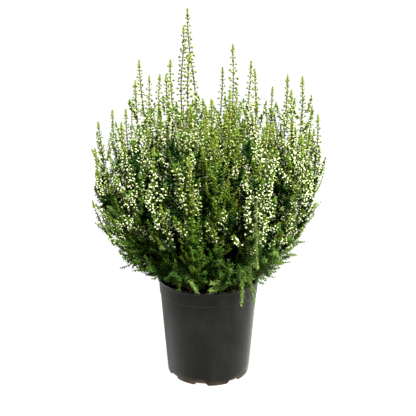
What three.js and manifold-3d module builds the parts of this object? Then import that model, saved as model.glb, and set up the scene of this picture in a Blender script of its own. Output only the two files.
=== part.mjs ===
// Potted heather: a tapered nursery pot full of peat, with budded stems that rise from it like
// a fountain and short leafy shoots that spread low over its rim.
// Millimetres, +Z up. The origin is on the pot's axis, on the surface that the pot stands on.
import * as THREE from 'three';
import Module from 'manifold-3d';
import { mergeVertices } from 'three/addons/utils/BufferGeometryUtils.js';

// Pot: a moulded nursery pot 130 mm across its rim.
const RIM_RADIUS = 65;
const POT_HEIGHT = 125;
const BASE_RADIUS = 54;
const WALL = 1.6;
const BAND = { bottom: 106.6, radius: 62.5, step: 0.8, slope: 1 };
const LIP = { height: 3.4, step: 0.9, slope: 0.4 };
const SHELF = { height: BAND.bottom + 9, radius: BAND.radius - 0.3 };
const FLOOR_BOTTOM = 5;
const FOOT = { width: 3.4, draft: 0.6 };
const POT_SIDES = 44;
const FEET = 8;
const ARCH = { width: 19, height: 3.2, slope: 2.5, depth: 12, below: 1, turn: -100 };
const DRAIN = { radius: 4, ring: 41, sides: 8 };

// Soil: a plug of peat just below the rim, with a plain hole for each stem.
const SOIL_TOP = 118;
const SOIL_EDGE_DROP = 1.5;
const GAP = 0.3;
const HOLE = { radius: 2.6, depth: 13, sides: 5 };
const ROOT_DEPTH = HOLE.depth - 1;
const SOIL_SHOULDER = 1;

// The fountain: every stem keeps its bearing and its share of the plant's radius.
const STEMS = 46;
const SHOOTS = 12;
const TURN_BETWEEN_STEMS = Math.PI * (3 - Math.sqrt(5));
const FIRST_BEARING = 1.9;
const FIRST_FROM_MIDDLE = 0.6;
const RADIUS_AT_SOIL = 52;
const RADIUS_AT_CROWN = 154;
const SPREAD_HEIGHT = 140;
const UPRIGHT_START = 6;

// Tips of the stems that stand out of the mass: across, back and up.
const LEADERS = [
  [-24, -23, 450], [-31, 12, 436], [-83, -2, 395], [-81, 76, 383], [-63, 42, 382],
  [-46, -62, 375], [-43, -29, 393], [-20, -92, 393], [3, -112, 347], [18, 47, 391],
  [30, 13, 415], [22, -81, 357], [38, 78, 367], [54, 46, 399], [52, -47, 381],
  [83, 51, 367], [90, -33, 376], [90, -64, 358], [114, -2, 376], [134, 40, 342],
  [127, -30, 331], [-83, -33, 370], [-104, 19, 338], [-127, 49, 337], [-95, -70, 323],
  [-131, -18, 323], [-126, -63, 294], [-137, 8, 252], [64, -115, 323], [-7, 74, 352],
  [-22, 131, 316],
];
const LEAN_LENGTH = 170;

// Stems left in the mass, and the side stems.
const MASS_TOP = 352;
const MASS_EDGE_DROP = 46;
const TIP_SPREAD = 34;
const SIDE = {
  offset: 12.5, rise: 34, length: 96, lengthSpread: 34, drop: 34, dropSpread: 24, topSpread: 44,
  secondStart: 14, secondEnd: 12, secondEvery: 4,
};
const STEM_RADIUS = { foot: 1.7, side: 1.2, tip: 0.9 };
const BARE_PITCH = 20;
const LEAVES_FROM = 127;
const FORKS_FROM = 160;
const BUD_PITCH = { outer: 11.5, inner: 21, above: 300 };
const FORK_BAND = 8;
const BUD_REACH = 6.2;
const BUD_RISE = { first: -3, step: 4.6 };
const TIP_LENGTH = 12;
const LEAST_REACH = 1;
const CLEARANCE = 1;

// Leafy shoots round the foot of the plant. Two at the front hang over the rim.
const SHOOT = {
  rise: 52, shortest: 0.62, vary: 0.5, lengthPerRise: 2, spread: 9,
  pitch: 5.5, lastRing: 0.93, radius: 1.5, tip: 0.6,
};
const HANGING = { rise: 48, fall: 60, spread: 31, bend: 1.3, length: 163.2, reach: 0.7 };
const LEAF_REACH = 5.2;
const LEAF_RISE = { first: -0.5, step: 1.8 };
const HANGING_BEARINGS = [-62, -38];
const HANGING_WITHIN = 13;
const SHOOT_BARE = 0.34;

const COLOURS = {
  pot: new THREE.MeshStandardMaterial({ color: '#26292a', roughness: 0.55, metalness: 0 }),
  soil: new THREE.MeshStandardMaterial({ color: '#2b1c12', roughness: 0.95, metalness: 0 }),
  budded_stem: new THREE.MeshStandardMaterial({ color: '#8fa35c', roughness: 0.6, metalness: 0 }),
  leafy_shoot: new THREE.MeshStandardMaterial({ color: '#3f6b2c', roughness: 0.6, metalness: 0 }),
};

const wasm = await Module();
wasm.setup();
const THIRD = (2 * Math.PI) / 3;
const degrees = THREE.MathUtils.degToRad;
const fraction = (value) => value - Math.floor(value);
const EVEN_STEPS = [0.754877666, 0.569840291];
const varied = (index, draw) => fraction((index + 1) * EVEN_STEPS[0] + draw * EVEN_STEPS[1]);
const LINE_PARTS = 40;

function solidOf(geometry) {
  const plain = geometry.clone();
  plain.deleteAttribute('normal');
  plain.deleteAttribute('uv');
  const merged = mergeVertices(plain, 1e-4);
  return new wasm.Manifold(new wasm.Mesh({
    numProp: 3,
    vertProperties: merged.attributes.position.array,
    triVerts: new Uint32Array(merged.index.array),
  }));
}

function geometryOf(positions, faces) {
  const geometry = new THREE.BufferGeometry();
  geometry.setAttribute('position', new THREE.Float32BufferAttribute(positions, 3));
  geometry.setIndex(Array.from(faces));
  const flat = geometry.toNonIndexed();
  flat.computeVertexNormals();
  return flat;
}

function geometryOfSolid(solid) {
  const mesh = solid.getMesh();
  return geometryOf(mesh.vertProperties, mesh.triVerts);
}

// A profile of [radius, height] points turned about the pot's axis.
function turned(profile) {
  const points = profile.map(([radius, height]) => new THREE.Vector2(radius, height));
  return new THREE.LatheGeometry(points, POT_SIDES).rotateX(Math.PI / 2);
}

// Inner radius of the pot's wall, and the plug of soil that fills it.
const FLOOR_TOP = FLOOR_BOTTOM + WALL;
const INNER_BASE = BASE_RADIUS - WALL;
function innerRadius(height) {
  const up = (height - FLOOR_TOP) / (SHELF.height - FLOOR_TOP);
  return INNER_BASE + (SHELF.radius - INNER_BASE) * Math.min(1, up);
}

function makePot() {
  const foot = BASE_RADIUS - FOOT.width;
  const lip = POT_HEIGHT - LIP.height;
  const body = solidOf(turned([
    [0, FLOOR_BOTTOM],
    [foot - FOOT.draft, FLOOR_BOTTOM],
    [foot, 0],
    [BASE_RADIUS, 0],
    [BAND.radius, BAND.bottom],
    [BAND.radius + BAND.step, BAND.bottom + BAND.slope],
    [RIM_RADIUS - LIP.step, lip],
    [RIM_RADIUS, lip + LIP.slope],
    [RIM_RADIUS, POT_HEIGHT],
    [RIM_RADIUS - WALL, POT_HEIGHT],
    [SHELF.radius, SHELF.height],
    [INNER_BASE, FLOOR_TOP],
    [0, FLOOR_TOP],
  ]));
  const arch = new THREE.Shape();
  arch.moveTo(-ARCH.width / 2, -ARCH.below);
  arch.lineTo(ARCH.width / 2, -ARCH.below);
  arch.lineTo(ARCH.width / 2 - ARCH.slope, ARCH.height);
  arch.lineTo(-ARCH.width / 2 + ARCH.slope, ARCH.height);
  let cut = body;
  for (let n = 0; n < FEET; n += 1) {
    const bearing = degrees(ARCH.turn) + (n * 2 * Math.PI) / FEET;
    const notch = new THREE.ExtrudeGeometry(arch, { depth: ARCH.depth, bevelEnabled: false })
      .rotateX(Math.PI / 2)
      .translate(0, BASE_RADIUS + ARCH.depth / 4, 0)
      .rotateZ(bearing - Math.PI / 2);
    const drain = new THREE.CylinderGeometry(DRAIN.radius, DRAIN.radius, 6 * WALL, DRAIN.sides)
      .rotateX(Math.PI / 2)
      .translate(DRAIN.ring, 0, FLOOR_BOTTOM)
      .rotateZ(bearing);
    cut = cut.subtract(solidOf(notch)).subtract(solidOf(drain));
  }
  return geometryOfSolid(cut);
}

// Bearing and share of the radius of each stem and shoot, spaced as seeds are in a flower head.
const places = [];
for (let n = 0; n < STEMS + SHOOTS; n += 1) {
  const share = Math.sqrt((n + FIRST_FROM_MIDDLE) / (STEMS + SHOOTS));
  const bearing = n * TURN_BETWEEN_STEMS + FIRST_BEARING;
  places.push({ share, bearing, x: share * Math.cos(bearing), y: share * Math.sin(bearing) });
}

// Radius of the whole fountain at a height: upright at the soil, then out to the crown.
function fountain(height) {
  const above = Math.max(0, height - SOIL_TOP);
  const up = Math.min(1, above / SPREAD_HEIGHT);
  const start = 1 - Math.exp(-above / UPRIGHT_START);
  return RADIUS_AT_SOIL + (RADIUS_AT_CROWN - RADIUS_AT_SOIL) * up * (2 - up) * start;
}

// Each leader takes the free stem that passes nearest to its tip.
const stems = places.slice(0, STEMS).map((place, n) => ({
  ...place,
  top: MASS_TOP - MASS_EDGE_DROP * place.share ** 2 - TIP_SPREAD * varied(n, 1),
  lean: [0, 0],
  led: false,
}));
for (const [x, y, z] of LEADERS) {
  const radius = fountain(z);
  const missedBy = (stem) => (stem.led ? Infinity : Math.hypot(stem.x * radius - x, stem.y * radius - y));
  const nearest = stems.reduce((best, stem) => (missedBy(stem) < missedBy(best) ? stem : best));
  nearest.led = true;
  nearest.top = z;
  nearest.lean = [x - nearest.x * radius, y - nearest.y * radius];
}

// Centre line of a stem by height, eased over its last stretch to the tip.
function stemAt(stem, height) {
  const radius = fountain(height);
  const along = Math.max(0, 1 - (stem.top - height) / LEAN_LENGTH);
  const eased = along * along * (3 - 2 * along);
  return new THREE.Vector3(
    stem.x * radius + stem.lean[0] * eased,
    stem.y * radius + stem.lean[1] * eased,
    height,
  );
}

// A limb is a centre line over t from 0 to 1, with stations where its skin has a ring.
class Limb {
  constructor(bearing, at, stations, settings) {
    this.across = new THREE.Vector3(-Math.sin(bearing), Math.cos(bearing), 0);
    this.at = at;
    this.stations = stations;
    this.forks = [];
    Object.assign(this, settings);
    this.line = [];
    for (let n = 0; n <= LINE_PARTS; n += 1) this.line.push(at(n / LINE_PARTS));
  }

  // Centre and cross axes at t: u lies across the limb's bearing, and u, v and the run are square.
  frame(t) {
    const step = 1e-3;
    const run = this.at(Math.min(1, t + step)).sub(this.at(Math.max(0, t - step))).normalize();
    const u = this.across.clone().addScaledVector(run, -this.across.dot(run)).normalize();
    return { centre: this.at(t), run, u, v: new THREE.Vector3().crossVectors(run, u) };
  }
}

const limbs = [];

// Stations from one height to another, as even as the pitch allows, given as shares of the limb.
function evenly(from, to, pitch) {
  const bands = Math.max(1, Math.round((to - from) / pitch));
  return Array.from({ length: bands }, (_, n) => from + ((n + 1) * (to - from)) / bands);
}

// Buds sit closer on the outer stems, and on all of them above the mass.
function budded(stem, from, to) {
  const deep = BUD_PITCH.inner + (BUD_PITCH.outer - BUD_PITCH.inner) * stem.share;
  const turn = Math.min(to, Math.max(from, BUD_PITCH.above));
  const below = turn > from ? evenly(from, turn, deep) : [];
  return turn < to ? [...below, ...evenly(turn, to, BUD_PITCH.outer)] : below;
}

function heatherStem(stem, n) {
  const foot = SOIL_TOP - ROOT_DEPTH;
  const length = stem.top - foot;
  const share = (height) => (height - foot) / length;
  const at = (t) => stemAt(stem, foot + t * length);
  const sides = n % SIDE.secondEvery ? 1 : 2;
  const forks = [];
  for (let side = 0; side < sides; side += 1) {
    const drop = SIDE.drop + SIDE.dropSpread * varied(n, 3 + side);
    const end = Math.min(stem.top - drop, MASS_TOP - SIDE.topSpread * varied(n, 5));
    const start = Math.max(FORKS_FROM, end - SIDE.length - SIDE.lengthSpread * varied(n, 7 + side));
    forks.push({ start: start + SIDE.secondStart * side, end: end - SIDE.secondEnd * side });
  }
  forks.sort((a, b) => a.start - b.start);
  const heights = [foot, SOIL_TOP, ...evenly(SOIL_TOP, LEAVES_FROM + 1, BARE_PITCH)];
  for (const fork of forks) {
    const last = heights[heights.length - 1];
    if (fork.start - last > BUD_PITCH.outer / 2) heights.push(...budded(stem, last, fork.start));
    else fork.start = last;
    fork.band = heights.length - 1;
    heights.push(fork.start + FORK_BAND);
  }
  heights.push(...budded(stem, heights[heights.length - 1], stem.top - TIP_LENGTH));
  const main = new Limb(stem.bearing, at, heights.map(share), {
    bareUpTo: share(LEAVES_FROM),
    radius: (t) => STEM_RADIUS.foot + (STEM_RADIUS.tip - STEM_RADIUS.foot) * t,
    reach: BUD_REACH,
    rise: BUD_RISE,
    turn: THIRD * varied(n, 9),
  });
  limbs.push(main);
  forks.forEach((fork, side) => {
    const sixth = n + 3 * side;
    const face = (sixth + 5 * (fork.band + 1)) % 6;
    const middle = main.frame(share(fork.start + FORK_BAND / 2));
    const angle = main.turn + (sixth * Math.PI) / 3;
    const out = middle.u.clone().multiplyScalar(Math.cos(angle)).addScaledVector(middle.v, Math.sin(angle));
    const start = fork.start + FORK_BAND / 2;
    const sideAt = (t) => {
      const height = start + t * (fork.end - start);
      const away = Math.min(1, (height - start) / SIDE.rise);
      return stemAt(stem, height).addScaledVector(out, SIDE.offset * away * (2 - away));
    };
    const reached = (height) => (height - start) / (fork.end - start);
    const rings = [start + FORK_BAND, ...budded(stem, start + FORK_BAND, fork.end - TIP_LENGTH)];
    const limb = new Limb(stem.bearing, sideAt, rings.map(reached), {
      bareUpTo: 0,
      radius: (t) => STEM_RADIUS.side + (STEM_RADIUS.tip - STEM_RADIUS.side) * t,
      reach: BUD_REACH,
      rise: BUD_RISE,
    });
    limbs.push(limb);
    main.forks.push({ band: fork.band, face, limb });
  });
  return main;
}

function leafyShoot(place, n) {
  const hanging = HANGING_BEARINGS.some((bearing) => {
    const apart = fraction((place.bearing - degrees(bearing)) / (2 * Math.PI) + 0.5) - 0.5;
    return Math.abs(apart) * 360 < HANGING_WITHIN;
  });
  const rise = SHOOT.rise * (SHOOT.shortest + SHOOT.vary * varied(n, 2));
  const risen = (s) => {
    const height = SOIL_TOP + rise * s * (2 - s);
    return [place.share * fountain(height) + SHOOT.spread * s ** 3, height];
  };
  const hung = (s) => [
    place.share * RADIUS_AT_SOIL + HANGING.spread * s ** HANGING.bend,
    SOIL_TOP + HANGING.rise * s * (2 - s) - HANGING.fall * s ** 3,
  ];
  const buried = ROOT_DEPTH / (ROOT_DEPTH + (hanging ? HANGING.length : SHOOT.lengthPerRise * rise));
  const at = (t) => {
    const above = Math.max(0, (t - buried) / (1 - buried));
    const [radius, height] = hanging ? hung(above) : risen(above);
    const below = Math.min(0, (t - buried) / buried) * ROOT_DEPTH;
    const side = new THREE.Vector3(Math.cos(place.bearing), Math.sin(place.bearing), 0);
    return side.multiplyScalar(radius).setZ(height + below);
  };
  const leafy = buried + (1 - buried) * SHOOT_BARE;
  const along = (share) => leafy + (1 - leafy) * share;
  const end = new THREE.CatmullRomCurve3(Array.from({ length: 9 }, (_, k) => at(along(k / 8))));
  const even = evenly(0, SHOOT.lastRing, SHOOT.pitch / end.getLength());
  const rings = even.map((share) => along(end.getUtoTmapping(share)));
  const stations = [0, buried, (buried + leafy) / 2, leafy, ...rings];
  const limb = new Limb(place.bearing, at, stations, {
    bareUpTo: (buried + leafy) / 2,
    radius: (t) => SHOOT.radius + (SHOOT.tip - SHOOT.radius) * t,
    reach: hanging ? HANGING.reach * LEAF_REACH : LEAF_REACH,
    rise: LEAF_RISE,
    turn: THIRD * varied(n, 9),
  });
  limbs.push(limb);
  return limb;
}

// How far a leaf may stand out at a place: half way to the next limb, and clear of pot and soil.
function room(limb, from, to) {
  let least = Infinity;
  for (const share of [from, (from + to) / 2, to]) {
    const point = limb.at(Math.min(1, share));
    const rim = Math.hypot(Math.hypot(point.x, point.y) - RIM_RADIUS + WALL / 2, point.z - POT_HEIGHT);
    const wall = point.z > POT_HEIGHT ? rim : Math.abs(Math.hypot(point.x, point.y) - RIM_RADIUS) - WALL;
    least = Math.min(least, rim - WALL - CLEARANCE, wall - CLEARANCE, point.z - SOIL_TOP - CLEARANCE);
    for (const other of limbs) {
      if (other === limb) continue;
      const line = new THREE.Line3();
      const nearest = new THREE.Vector3();
      for (let n = 0; n + 1 < other.line.length; n += 1) {
        if (Math.abs(other.line[n].z - point.z) > 3 * BUD_REACH) continue;
        line.set(other.line[n], other.line[n + 1]).closestPointToPoint(point, true, nearest);
        least = Math.min(least, nearest.distanceTo(point) / 2 - STEM_RADIUS.tip);
      }
    }
  }
  return least;
}

// The skin of a limb: three corners a ring, each ring turned by a sixth, so that six faces lie
// between two rings. A bud or leaf is raised from each face, and a side limb grows out of one.
class Skin {
  constructor() {
    this.points = [];
    this.faces = [];
  }

  point({ x, y, z }) {
    return this.points.push(new THREE.Vector3(x, y, z)) - 1;
  }

  ring({ centre, u, v }, radius, turn) {
    return [0, 1, 2].map((corner) => {
      const angle = turn + corner * THIRD;
      const spot = centre.clone().addScaledVector(u, radius * Math.cos(angle));
      return this.point(spot.addScaledVector(v, radius * Math.sin(angle)));
    });
  }

  // The six faces between two rings, in order round the limb.
  static between(low, high) {
    const next = (corner) => (corner + 1) % 3;
    return [0, 1, 2].flatMap((k) => [
      [low[k], low[next(k)], high[k]],
      [low[next(k)], high[next(k)], high[k]],
    ]);
  }

  // A face drawn out to a point, where there is room for one.
  raise(corners, run, rise, reach) {
    const [a, b, c] = corners.map((corner) => this.points[corner]);
    if (reach <= LEAST_REACH) {
      this.faces.push(...corners);
      return;
    }
    const out = new THREE.Triangle(a, b, c).getNormal(new THREE.Vector3());
    const tip = new THREE.Vector3().add(a).add(b).add(c).divideScalar(3);
    const apex = this.point(tip.addScaledVector(out, reach).addScaledVector(run, rise));
    for (let n = 0; n < 3; n += 1) this.faces.push(corners[n], corners[(n + 1) % 3], apex);
  }

  // Turn that best lines a limb's first ring up with the face that it grows from.
  turnFor(corners, { u, v }) {
    const points = corners.map((corner) => this.points[corner]);
    const middle = new THREE.Vector3().add(points[0]).add(points[1]).add(points[2]).divideScalar(3);
    const mean = new THREE.Vector2();
    points.forEach((point, n) => {
      const edge = point.clone().add(points[(n + 1) % 3]).divideScalar(2).sub(middle);
      const angle = Math.atan2(edge.dot(v), edge.dot(u)) - n * THIRD;
      mean.add(new THREE.Vector2(Math.cos(angle), Math.sin(angle)));
    });
    return mean.angle();
  }

  grow(limb, host) {
    const frames = limb.stations.map((t) => limb.frame(t));
    let turn = host ? this.turnFor(host, frames[0]) : limb.turn;
    let low = host ?? this.ring(frames[0], limb.radius(0), turn);
    if (!host) this.faces.push(low[0], low[2], low[1]);
    for (let n = host ? 0 : 1; n < frames.length; n += 1) {
      const from = limb.stations[Math.max(0, n - 1)];
      const to = limb.stations[n];
      if (!host || n > 0) turn += Math.PI / 3;
      const high = this.ring(frames[n], limb.radius(to), turn);
      const leafy = from > limb.bareUpTo && !(host && n === 0);
      const reach = leafy ? Math.min(limb.reach, room(limb, from, to)) : 0;
      const fork = limb.forks.filter(({ band }) => band === n - 1);
      Skin.between(low, high).forEach((corners, side) => {
        const grown = fork.find(({ face }) => face === side);
        if (grown) this.grow(grown.limb, corners);
        else if (fork.length || side % 2 === 0) this.faces.push(...corners);
        else this.raise(corners, frames[n].run, limb.rise.first + (limb.rise.step * (side - 1)) / 2, reach);
      });
      low = high;
    }
    const tip = this.point(limb.at(1));
    for (let n = 0; n < 3; n += 1) this.faces.push(low[n], low[(n + 1) % 3], tip);
  }

  geometry() {
    return geometryOf(this.points.flatMap((point) => point.toArray()), this.faces);
  }
}

function makeSoil(feet) {
  let plug = solidOf(turned([
    [0, FLOOR_TOP + GAP],
    [innerRadius(FLOOR_TOP + GAP) - GAP, FLOOR_TOP + GAP],
    [innerRadius(SOIL_TOP - SOIL_EDGE_DROP) - GAP, SOIL_TOP - SOIL_EDGE_DROP],
    [RADIUS_AT_SOIL + HOLE.radius + SOIL_SHOULDER, SOIL_TOP],
    [0, SOIL_TOP],
  ]));
  for (const { x, y } of feet) {
    const hole = new THREE.CylinderGeometry(HOLE.radius, HOLE.radius, 2 * HOLE.depth, HOLE.sides)
      .rotateX(Math.PI / 2)
      .translate(x * RADIUS_AT_SOIL, y * RADIUS_AT_SOIL, SOIL_TOP);
    plug = plug.subtract(solidOf(hole));
  }
  return geometryOfSolid(plug);
}

const plant = new THREE.Group();
function add(name, geometry, material) {
  const mesh = new THREE.Mesh(geometry, material);
  mesh.name = name;
  plant.add(mesh);
}

add('pot', makePot(), COLOURS.pot);
add('soil', makeSoil(places), COLOURS.soil);
const mains = stems.map(heatherStem);
const shoots = places.slice(STEMS).map(leafyShoot);
const numbered = (name, n) => `${name}_${String(n + 1).padStart(2, '0')}`;
mains.forEach((limb, n) => {
  const skin = new Skin();
  skin.grow(limb);
  add(numbered('heather_stem', n), skin.geometry(), COLOURS.budded_stem);
});
shoots.forEach((limb, n) => {
  const skin = new Skin();
  skin.grow(limb);
  add(numbered('leafy_shoot', n), skin.geometry(), COLOURS.leafy_shoot);
});

export default plant;
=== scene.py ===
import math

import bmesh
import bpy
import numpy as np
from mathutils import Matrix, Vector, noise


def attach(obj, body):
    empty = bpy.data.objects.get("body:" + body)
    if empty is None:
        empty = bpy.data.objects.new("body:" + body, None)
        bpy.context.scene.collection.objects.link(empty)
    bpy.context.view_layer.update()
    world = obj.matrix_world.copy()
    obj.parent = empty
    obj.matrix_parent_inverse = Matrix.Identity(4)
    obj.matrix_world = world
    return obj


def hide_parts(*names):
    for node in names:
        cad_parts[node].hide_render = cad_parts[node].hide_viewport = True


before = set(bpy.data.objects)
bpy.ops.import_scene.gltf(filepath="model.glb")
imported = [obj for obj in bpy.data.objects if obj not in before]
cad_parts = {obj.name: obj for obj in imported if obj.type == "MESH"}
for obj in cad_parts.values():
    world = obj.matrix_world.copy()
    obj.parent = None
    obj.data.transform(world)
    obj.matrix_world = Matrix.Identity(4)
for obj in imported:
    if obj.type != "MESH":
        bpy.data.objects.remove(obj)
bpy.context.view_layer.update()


# Pot: one thin black polypropylene nursery pot, injection moulded, 130 mm across its rim. A lip
# and a band stiffen the rim. The foot is a ring with eight low arches, and inside each arch the
# floor has a round hole, so that water can drain away.
MM = 0.001
SAME_PLACE = 1e-7
POT_SEGMENTS = 240
ARCHES, FIRST_ARCH = 8, math.radians(-100)
ARCH_HALF_WIDTH, ARCH_SLOPE, ARCH_HEIGHT = 8.9, 3.0, 3.2
FOOT_EDGE, FOOT_INSIDE, FLOOR_TOP = 0.8, 50, 7
DRAIN_RADIUS, DRAIN_RING = 4.0, 41.0
DRAIN_CUT, DRAIN_CUT_ANGLE = (37, 45), math.radians(6)
UNDERSIDE = [(0, 5), (36.4, 5), (38.6, 5), (41, 5), (43.4, 5), (45.6, 5), (49.8, 5), (50.2, 4.8)]
FOOT = [(50.7, 0.7), (50.9, 0.2), (51.4, 0), (53.4, 0), (53.85, 0.2), (54, 0.7)]
WALL = [(54.3, 4.3), (54.42, 5.2), (54.3, 5.6), (54.42, 6), (55, 11.6), (58.4, 54), (62.4, 105.4)]
BAND = [(62.48, 106.3), (62.75, 106.8), (63.2, 107), (63.34, 107.6), (64.02, 120.6), (64.12, 121.4)]
LIP = [(64.3, 121.6), (64.85, 121.9), (65, 122.4), (65, 124.3), (64.85, 124.8), (64.4, 125),
       (63.85, 125), (63.5, 124.8), (63.4, 124.3)]
INSIDE = [(62.3, 116), (62.1, 114.8), (52.5, 7.6), (51.9, 6.8), (51, 6.6), (45.6, 6.6),
          (43.4, 6.6), (41, 6.6), (38.6, 6.6), (36.4, 6.6), (0, 6.6)]
BAND_EDGES = (0.1066, 0.1216)
SPLASHED_TO = 0.011
BLACK_PLASTIC, DUSTY_PLASTIC = (0.0018, 0.0020, 0.0015), (0.0074, 0.0080, 0.0060)
SCUFFED, WORN_AND_HIGHLIT = (0.022, 0.023, 0.019), (0.040, 0.041, 0.037)
DRIED_MUD, PALE_SPECK = (0.10, 0.060, 0.032), (0.10, 0.085, 0.065)


def turned(profile, segments, start=0.0):
    """A closed shape spun about the Z axis from (radius, height) pairs, which are in metres."""
    bm = bmesh.new()
    across = Vector((math.cos(start), math.sin(start), 0))
    points = [bm.verts.new(across * radius + Vector((0, 0, height))) for radius, height in profile]
    edges = [bm.edges.new(pair) for pair in zip(points, points[1:])]
    bmesh.ops.spin(bm, geom=points + edges, cent=(0, 0, 0), axis=(0, 0, 1),
                   angle=2 * math.pi, steps=segments, use_merge=True)
    bmesh.ops.remove_doubles(bm, verts=bm.verts, dist=SAME_PLACE)
    bmesh.ops.recalc_face_normals(bm, faces=bm.faces)
    return bm


def eased(share):
    """Runs smoothly from 0 to 1, and stays at 0 before and at 1 after."""
    share = np.clip(share, 0, 1)
    return share * share * (3 - 2 * share)


def piece_of(bm, name, material, sharp_over=None):
    """Makes a bmesh an object at the origin, smooth but for edges over an angle in degrees."""
    for face in bm.faces:
        face.smooth = True
    if sharp_over:
        for edge in bm.edges:
            edge.smooth = edge.calc_face_angle(0) < math.radians(sharp_over)
    mesh = bpy.data.meshes.new(name)
    bm.to_mesh(mesh)
    bm.free()
    mesh.materials.append(material)
    piece = bpy.data.objects.new(name, mesh)
    bpy.context.scene.collection.objects.link(piece)
    return piece


class Value:
    """A number or colour in a material's nodes. Sums on it add Math nodes."""

    def __init__(self, finish, socket):
        self.finish, self.socket = finish, socket

    def maths(self, operation, *values):
        return self.finish.node("ShaderNodeMath", {"operation": operation}, *values)

    def __add__(self, other):
        return self.maths("ADD", self, other)

    def __sub__(self, other):
        return self.maths("SUBTRACT", self, other)

    def __rsub__(self, other):
        return self.maths("SUBTRACT", other, self)

    def __mul__(self, other):
        return self.maths("MULTIPLY", self, other)

    def __truediv__(self, other):
        return self.maths("DIVIDE", self, other)

    def __gt__(self, other):
        return self.maths("GREATER_THAN", self, other)

    __radd__, __rmul__ = __add__, __mul__

    def between(self, low, high):
        """0 below low and 1 above high, eased from one to the other."""
        return self.finish.node("ShaderNodeMapRange", {"interpolation_type": "SMOOTHSTEP"},
                                self, low, high, 0.0, 1.0)

    def ramp(self, *stops):
        """A colour for this value, from (place, colour) stops."""
        return self.finish.node("ShaderNodeValToRGB", {"stops": stops}, self)


class Finish:
    """A material: its shader's fixed settings, and the nodes that vary the rest of them."""

    def __init__(self, name, fixed):
        self.material = bpy.data.materials.new(name)
        self.material.use_nodes = True
        self.tree = self.material.node_tree
        self.shader = self.tree.nodes["Principled BSDF"]
        for socket, value in fixed.items():
            self.shader.inputs[socket].default_value = value

    def node(self, kind, settings, *inputs, output=0, **named):
        """Adds a node: first its settings, then its sockets, in their order or by name."""
        node = self.tree.nodes.new(kind)
        for setting, value in settings.items():
            if setting == "stops":
                self.colour_stops(node.color_ramp.elements, value)
            else:
                setattr(node, setting, value)
        sockets = [socket for socket in node.inputs if socket.enabled]
        by_name = {socket.name: socket for socket in sockets}
        chosen = [(by_name[name], value) for name, value in named.items()]
        for socket, value in [*zip(sockets, inputs), *chosen]:
            if isinstance(value, Value):
                self.tree.links.new(value.socket, socket)
            elif value is not None:
                socket.default_value = (*value, 1) if socket.type == "RGBA" else value
        given = [socket for socket in node.outputs if socket.enabled]
        return Value(self, given[output])

    def colour_stops(self, elements, stops):
        for spare in list(elements)[1:]:
            elements.remove(spare)
        for number, (place, colour) in enumerate(stops):
            stop = elements[0] if number == 0 else elements.new(place)
            stop.position, stop.color = place, (*colour, 1)

    def place(self):
        """Object coordinates, the fourth output of Texture Coordinate."""
        return self.node("ShaderNodeTexCoord", {}, output=3)

    def noise(self, scale, detail=3.0, roughness=0.5, place=None):
        return self.node("ShaderNodeTexNoise", {}, place or self.place(), Scale=scale,
                         Detail=detail, Roughness=roughness)

    def mix(self, share, first, second):
        return self.node("ShaderNodeMix", {"data_type": "RGBA"}, share, first, second)

    def set(self, socket, value):
        self.tree.links.new(value.socket, self.shader.inputs[socket])

    def bump(self, height, depth):
        self.set("Normal", self.node("ShaderNodeBump", {}, Strength=1.0, Distance=depth,
                                     Height=height))


moulded = Finish("black_moulded_plastic", {
    "Specular IOR Level": 0.39, "Specular Tint": (1.0, 1.0, 0.9, 1), "Sheen Weight": 0.32,
    "Sheen Roughness": 0.35, "Sheen Tint": (1.0, 0.98, 0.93, 1)})
upright = moulded.node("ShaderNodeMapping", {}, moulded.place(), Scale=(1, 1, 0.25))
scuffs = moulded.noise(70, 5, 0.6, upright).between(0.52, 0.78)
dust = moulded.noise(24, 4, 0.62).between(0.38, 0.72)
specks = moulded.noise(1400, 1, 0.5).between(0.68, 0.74)
plastic = moulded.mix(dust, BLACK_PLASTIC, DUSTY_PLASTIC)
plastic = moulded.mix(scuffs * 0.4, plastic, SCUFFED)
height = moulded.node("ShaderNodeSeparateXYZ", {}, moulded.place(), output=2)
# Thin pale lines at the band's two edges: partly wear, partly a painted highlight along the ridges.
for edge in BAND_EDGES:
    worn_and_highlit_ridge = height.between(edge - 0.0003, edge) * (1 - height.between(edge + 0.0004, edge + 0.0008))
    plastic = moulded.mix(worn_and_highlit_ridge * moulded.noise(90, 3).between(0.3, 0.6), plastic, WORN_AND_HIGHLIT)
clean = (height + 0.006 * dust).between(0.004, SPLASHED_TO)
splashed = (1 - clean) * moulded.noise(160, 4, 0.7).between(0.35, 0.6)
plastic = moulded.mix(splashed * 0.8, plastic, DRIED_MUD)
moulded.set("Base Color", moulded.mix(specks * 0.2, plastic, PALE_SPECK))
moulded.set("Roughness", 0.34 + 0.14 * dust + 0.08 * scuffs)
moulded.bump(moulded.noise(2600, 2) + 0.8 * moulded.noise(300, 3), 0.00006)

profile = [(r * MM, z * MM) for r, z in UNDERSIDE + FOOT + WALL + BAND + LIP + INSIDE]
pot = turned(profile, POT_SEGMENTS, FIRST_ARCH)
for vert in pot.verts:
    radius, bearing = math.hypot(vert.co.x, vert.co.y), math.atan2(vert.co.y, vert.co.x)
    apart = (bearing - FIRST_ARCH + math.pi / ARCHES) % (2 * math.pi / ARCHES) - math.pi / ARCHES
    if vert.co.z < FOOT_EDGE * MM and radius > FOOT_INSIDE * MM:
        inward = (ARCH_HALF_WIDTH - abs(apart) * radius / MM) / ARCH_SLOPE
        vert.co.z += ARCH_HEIGHT * MM * eased(inward)


def cut_for_drain(face, middle):
    """Whether a face of the floor lies where the drain hole round a middle will be."""
    centre = face.calc_center_median()
    return (abs(face.normal.z) > 0.9 and centre.z < FLOOR_TOP * MM
            and DRAIN_CUT[0] * MM < centre.xy.length < DRAIN_CUT[1] * MM
            and abs(centre.xy.angle_signed(middle.xy)) < DRAIN_CUT_ANGLE)


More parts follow.
